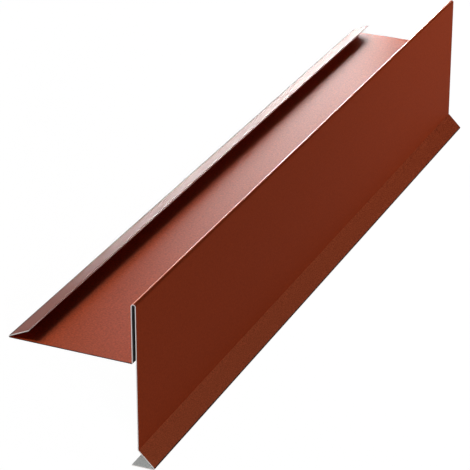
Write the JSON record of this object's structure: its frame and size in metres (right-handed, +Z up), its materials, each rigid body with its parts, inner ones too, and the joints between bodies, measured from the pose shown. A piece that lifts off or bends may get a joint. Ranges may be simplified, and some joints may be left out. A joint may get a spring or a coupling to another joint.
{
  "type": "verge trim",
  "caption": "Folded steel roof edge trim: tall painted face with a kicked-out drip edge, folded back into an upstand and a roof flange with a turned-back lip.",
  "frame": {"origin": "on the floor, under the middle of the trim's box, as the loose trim lies like a tent on its lip and on the free edge of its return", "axes": "+X along the trim's length, the way the picture looks into; +Y towards the lip, -Y towards the drip edge; +Z up"},
  "size_m": [0.6, 0.1204, 0.0854],
  "materials": {
    "coated_steel": "matt"
  },
  "bodies": {
    "root": {"verge_trim": "coated_steel"}
  },
  "joints": []
}
